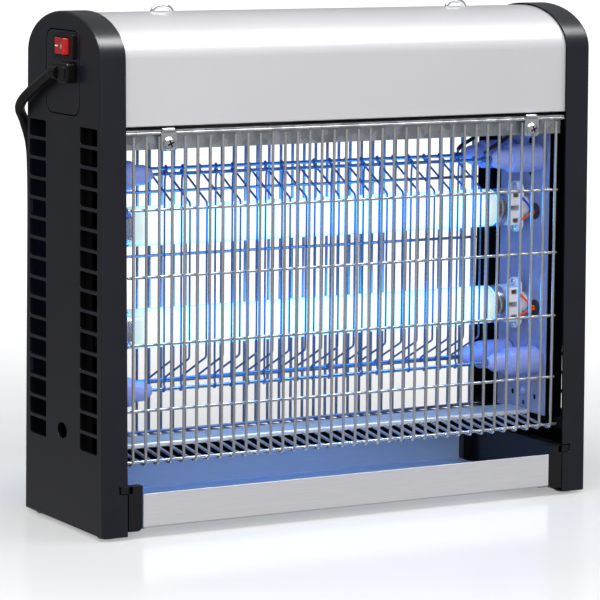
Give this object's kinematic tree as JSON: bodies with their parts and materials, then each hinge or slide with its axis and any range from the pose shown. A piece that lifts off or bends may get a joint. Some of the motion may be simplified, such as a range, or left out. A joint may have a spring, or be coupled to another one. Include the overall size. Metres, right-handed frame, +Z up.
{
  "type": "electric bug zapper",
  "caption": "Indoor electric bug zapper: two ultraviolet tubes behind a live wire grid, wire guards, slide-out catch tray, rocker switch and hanging bails.",
  "frame": {"origin": "on the floor plane, at the middle of the whole footprint with the cord and plug included; the middle of the case itself is 5 mm to +X and 14 mm to -Y of it", "axes": "+X along the width from the switch end to the plain end, +Y from front to rear, +Z up"},
  "size_m": [0.3714, 0.143, 0.3313],
  "materials": {
    "cap_plastic": "semi-gloss charcoal, fine moulded grain",
    "cover_paint": "satin silver paint",
    "zinc_sheet": "zinc-coated sheet",
    "guard_wire": "bright plated wire",
    "screw_chrome": "bright plating",
    "grid_wire": "bare drawn wire",
    "insulator_ceramic": "white, unglazed",
    "tube_glass": "coated tube, lit, crimped metal end caps",
    "holder_plastic": "white moulding",
    "switch_black": "black moulding",
    "rocker_red": "red moulding with a plain bar mark",
    "cord_pvc": "black PVC sleeve",
    "lead_blue": "insulated wire",
    "black_rubber": "black rubber",
    "tray_sheet": "plain bright sheet",
    "tray_plastic": "black moulding",
    "module_potting": "dark potting in a plastic box",
    "ballast_case": "off-white case"
  },
  "bodies": {
    "housing": {"left_end_cap": "cap_plastic", "right_end_cap": "cap_plastic", "switch_panel": "cap_plastic", "top_cover": "cover_paint", "top_channel": "zinc_sheet", "left_side_plate": "zinc_sheet", "right_side_plate": "zinc_sheet", "floor_strip": "zinc_sheet", "rear_clip_left": "zinc_sheet", "rear_clip_right": "zinc_sheet", "rear_guard": "guard_wire", "rear_clip_screw_left": "screw_chrome", "rear_clip_screw_right": "screw_chrome", "hv_grid_front": "grid_wire", "hv_grid_rear": "grid_wire", "insulator_upper_front_left": "insulator_ceramic", "insulator_upper_front_right": "insulator_ceramic", "insulator_upper_rear_left": "insulator_ceramic", "insulator_upper_rear_right": "insulator_ceramic", "insulator_lower_front_left": "insulator_ceramic", "insulator_lower_front_right": "insulator_ceramic", "insulator_lower_rear_left": "insulator_ceramic", "insulator_lower_rear_right": "insulator_ceramic", "lampholder_upper_left": "holder_plastic", "lampholder_upper_right": "holder_plastic", "lampholder_lower_left": "holder_plastic", "lampholder_lower_right": "holder_plastic", "rocker_switch_body": "switch_black", "strain_relief": "cord_pvc", "power_cord": "cord_pvc", "hv_lead_front": "cord_pvc", "hv_lead_rear": "cord_pvc", "lamp_leads_left": "lead_blue", "lamp_leads_right": "lead_blue", "grommet_upper_left": "black_rubber", "grommet_upper_right": "black_rubber", "grommet_lower_left": "black_rubber", "grommet_lower_right": "black_rubber", "foot_front_left": "black_rubber", "foot_front_right": "black_rubber", "foot_rear_left": "black_rubber", "foot_rear_right": "black_rubber", "hv_transformer_module": "module_potting", "lamp_ballast": "ballast_case", "terminal_block": "ballast_case"},
    "front_guard_frame": {"front_guard": "guard_wire", "front_clip_left": "zinc_sheet", "front_clip_right": "zinc_sheet", "front_clip_screw_left": "screw_chrome", "front_clip_screw_right": "screw_chrome"},
    "catch_tray": {"tray_pan": "tray_sheet", "tray_end_left": "tray_plastic", "tray_end_right": "tray_plastic"},
    "upper_tube": {"upper_lamp": "tube_glass"},
    "lower_tube": {"lower_lamp": "tube_glass"},
    "switch_rocker": {"rocker_button": "rocker_red"},
    "bail_left": {"hanging_bail_left": "screw_chrome"},
    "bail_right": {"hanging_bail_right": "screw_chrome"}
  },
  "joints": [
    {"name": "tray_slide", "type": "slide", "parent": "housing", "child": "catch_tray", "axis": [0, -1, 0], "range_m": [0, 0.1]},
    {"name": "front_guard_hinge", "type": "hinge", "parent": "housing", "child": "front_guard_frame", "pos_m": [0.005, -0.0615, 0.04675], "axis": [1, 0, 0], "range_deg": [0, 85]},
    {"name": "upper_tube_twist", "type": "hinge", "parent": "housing", "child": "upper_tube", "pos_m": [0.005, -0.014, 0.19], "axis": [1, 0, 0], "range_deg": [0, 90]},
    {"name": "lower_tube_twist", "type": "hinge", "parent": "housing", "child": "lower_tube", "pos_m": [0.005, -0.014, 0.124], "axis": [1, 0, 0], "range_deg": [0, 90]},
    {"name": "rocker_tilt", "type": "hinge", "parent": "housing", "child": "switch_rocker", "pos_m": [-0.1766, -0.0195, 0.3064], "axis": [0, 0, 1], "range_deg": [0, 14]},
    {"name": "bail_left_lift", "type": "slide", "parent": "housing", "child": "bail_left", "axis": [0, 0, 1], "range_m": [0, 0.014]},
    {"name": "bail_right_lift", "type": "slide", "parent": "housing", "child": "bail_right", "axis": [0, 0, 1], "range_m": [0, 0.014]}
  ]
}
